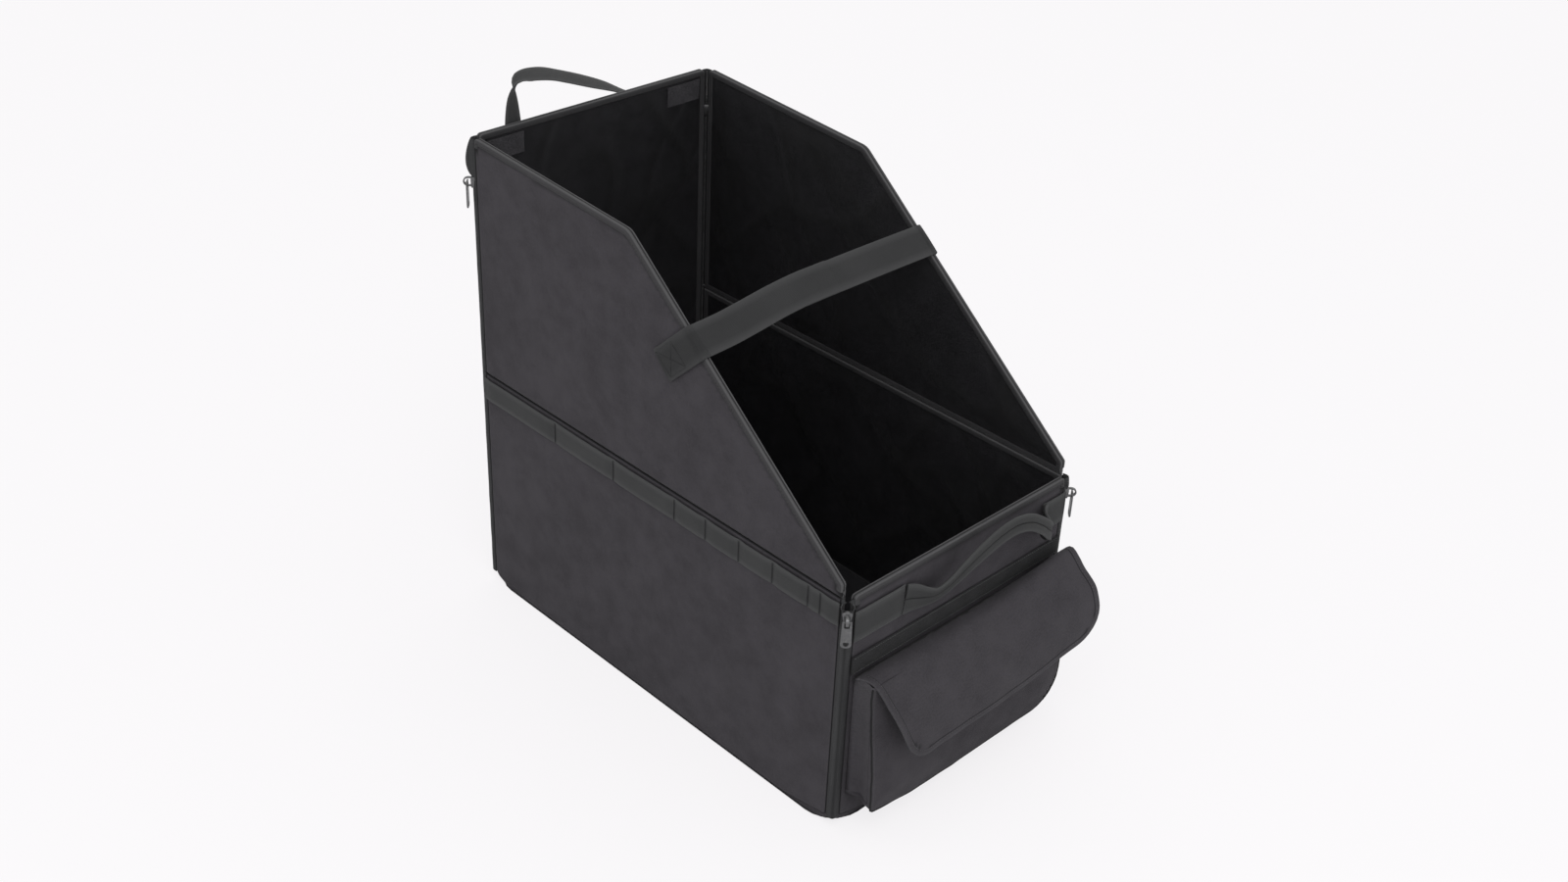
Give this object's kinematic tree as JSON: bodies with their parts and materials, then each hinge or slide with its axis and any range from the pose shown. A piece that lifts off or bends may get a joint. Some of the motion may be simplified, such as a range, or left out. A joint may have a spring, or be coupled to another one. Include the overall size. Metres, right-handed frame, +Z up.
{
  "type": "folding bike storage cover",
  "caption": "Open fabric box with stiff walls on a flat base, zipped corners, folding side panels, a cross strap, carrying handles and a front pocket with a flap.",
  "frame": {"origin": "middle of the base's underside", "axes": "+Z up, -Y towards the low front wall with the pocket, +X towards the right side seen from the front"},
  "size_m": [0.3634, 0.7039, 0.6336],
  "materials": {
    "outer_cloth": "matte",
    "lining_cloth": "matte",
    "binding_tape": "matte",
    "webbing": "matte",
    "fastener_strip": "matte",
    "stiff_board": "matte",
    "zip_tape": "matte",
    "zip_metal": "satin"
  },
  "bodies": {
    "base": {"base_fabric": "outer_cloth", "base_board": "stiff_board", "base_lining": "lining_cloth"},
    "front_wall": {"front_fabric": "outer_cloth", "front_board": "stiff_board", "front_lining": "lining_cloth", "front_binding": "binding_tape", "front_band_left": "webbing", "front_band_right": "webbing", "front_fastener_strip": "fastener_strip", "pocket_bag": "outer_cloth", "zip_front_left_end_tape": "zip_tape", "zip_front_right_end_tape": "zip_tape"},
    "rear_wall": {"rear_fabric": "outer_cloth", "rear_board": "stiff_board", "rear_lining": "lining_cloth", "rear_binding": "binding_tape", "rear_handle_foot_left": "webbing", "rear_handle_foot_right": "webbing", "rear_patch_left": "fastener_strip", "rear_patch_right": "fastener_strip", "zip_rear_left_end_tape": "zip_tape", "zip_rear_right_end_tape": "zip_tape"},
    "side_left_lower": {"side_left_lower_fabric": "outer_cloth", "side_left_lower_board": "stiff_board", "side_left_lower_lining": "lining_cloth", "side_left_lower_binding": "binding_tape", "side_left_webbing": "webbing", "zip_front_left_side_tape": "zip_tape", "zip_rear_left_side_tape": "zip_tape"},
    "side_left_upper": {"side_left_upper_fabric": "outer_cloth", "side_left_upper_board": "stiff_board", "side_left_upper_lining": "lining_cloth", "side_left_upper_binding": "binding_tape", "strap_left": "webbing", "zip_rear_left_upper_tape": "zip_tape"},
    "side_right_lower": {"side_right_lower_fabric": "outer_cloth", "side_right_lower_board": "stiff_board", "side_right_lower_lining": "lining_cloth", "side_right_lower_binding": "binding_tape", "side_right_webbing": "webbing", "zip_front_right_side_tape": "zip_tape", "zip_rear_right_side_tape": "zip_tape"},
    "side_right_upper": {"side_right_upper_fabric": "outer_cloth", "side_right_upper_board": "stiff_board", "side_right_upper_lining": "lining_cloth", "side_right_upper_binding": "binding_tape", "strap_right": "webbing", "zip_rear_right_upper_tape": "zip_tape"},
    "pocket_flap": {"pocket_flap": "outer_cloth"},
    "front_handle": {"front_handle": "webbing"},
    "rear_handle": {"rear_handle": "webbing"},
    "zip_front_left_slider": {"zip_front_left_slider": "zip_metal"},
    "zip_front_left_puller": {"zip_front_left_puller": "zip_metal"},
    "zip_front_right_slider": {"zip_front_right_slider": "zip_metal"},
    "zip_front_right_puller": {"zip_front_right_puller": "zip_metal"},
    "zip_rear_left_slider": {"zip_rear_left_slider": "zip_metal"},
    "zip_rear_left_puller": {"zip_rear_left_puller": "zip_metal"},
    "zip_rear_right_slider": {"zip_rear_right_slider": "zip_metal"},
    "zip_rear_right_puller": {"zip_rear_right_puller": "zip_metal"}
  },
  "joints": [
    {"name": "front_wall_fold", "type": "hinge", "parent": "base", "child": "front_wall", "pos_m": [0, -0.3, 0], "axis": [1, 0, 0], "range_deg": [0, 90]},
    {"name": "rear_wall_fold", "type": "hinge", "parent": "base", "child": "rear_wall", "pos_m": [0, 0.3, 0], "axis": [-1, 0, 0], "range_deg": [0, 90]},
    {"name": "side_left_lower_fold", "type": "hinge", "parent": "base", "child": "side_left_lower", "pos_m": [-0.175, 0, 0], "axis": [0, -1, 0], "range_deg": [0, 90], "deforming": ["zip_front_left_side_tape", "zip_rear_left_side_tape"]},
    {"name": "side_left_upper_fold", "type": "hinge", "parent": "side_left_lower", "child": "side_left_upper", "pos_m": [-0.175, 0, 0.298], "axis": [0, 1, 0], "range_deg": [-150, 0], "deforming": ["strap_left", "zip_rear_left_upper_tape"]},
    {"name": "side_right_lower_fold", "type": "hinge", "parent": "base", "child": "side_right_lower", "pos_m": [0.175, 0, 0], "axis": [0, 1, 0], "range_deg": [0, 90], "deforming": ["zip_front_right_side_tape", "zip_rear_right_side_tape"]},
    {"name": "side_right_upper_fold", "type": "hinge", "parent": "side_right_lower", "child": "side_right_upper", "pos_m": [0.175, 0, 0.298], "axis": [0, -1, 0], "range_deg": [-150, 0], "deforming": ["strap_right", "zip_rear_right_upper_tape"]},
    {"name": "pocket_flap_lift", "type": "hinge", "parent": "front_wall", "child": "pocket_flap", "pos_m": [0, -0.3013, 0.198], "axis": [-1, 0, 0], "range_deg": [0, 65]},
    {"name": "front_handle_swing", "type": "hinge", "parent": "front_wall", "child": "front_handle", "pos_m": [0, -0.3016, 0.264], "axis": [-1, 0, 0], "range_deg": [-120, 10]},
    {"name": "rear_handle_swing", "type": "hinge", "parent": "rear_wall", "child": "rear_handle", "pos_m": [0, 0.3015, 0.54], "axis": [-1, 0, 0], "range_deg": [0, 90]},
    {"name": "zip_front_left_slide", "type": "slide", "parent": "front_wall", "child": "zip_front_left_slider", "axis": [0, 0, -1], "range_m": [0, 0.24]},
    {"name": "zip_front_left_puller_swing", "type": "hinge", "parent": "zip_front_left_slider", "child": "zip_front_left_puller", "pos_m": [-0.17727, -0.30227, 0.278], "axis": [-0.7071, 0.7071, 0], "range_deg": [0, 170]},
    {"name": "zip_front_right_slide", "type": "slide", "parent": "front_wall", "child": "zip_front_right_slider", "axis": [0, 0, -1], "range_m": [0, 0.24]},
    {"name": "zip_front_right_puller_swing", "type": "hinge", "parent": "zip_front_right_slider", "child": "zip_front_right_puller", "pos_m": [0.17727, -0.30227, 0.278], "axis": [-0.7071, -0.7071, 0], "range_deg": [0, 170]},
    {"name": "zip_rear_left_slide", "type": "slide", "parent": "rear_wall", "child": "zip_rear_left_slider", "axis": [0, 0, -1], "range_m": [0, 0.495]},
    {"name": "zip_rear_left_puller_swing", "type": "hinge", "parent": "zip_rear_left_slider", "child": "zip_rear_left_puller", "pos_m": [-0.17727, 0.30227, 0.536], "axis": [0.7071, 0.7071, 0], "range_deg": [0, 170]},
    {"name": "zip_rear_right_slide", "type": "slide", "parent": "rear_wall", "child": "zip_rear_right_slider", "axis": [0, 0, -1], "range_m": [0, 0.495]},
    {"name": "zip_rear_right_puller_swing", "type": "hinge", "parent": "zip_rear_right_slider", "child": "zip_rear_right_puller", "pos_m": [0.17727, 0.30227, 0.536], "axis": [0.7071, -0.7071, 0], "range_deg": [0, 170]}
  ]
}
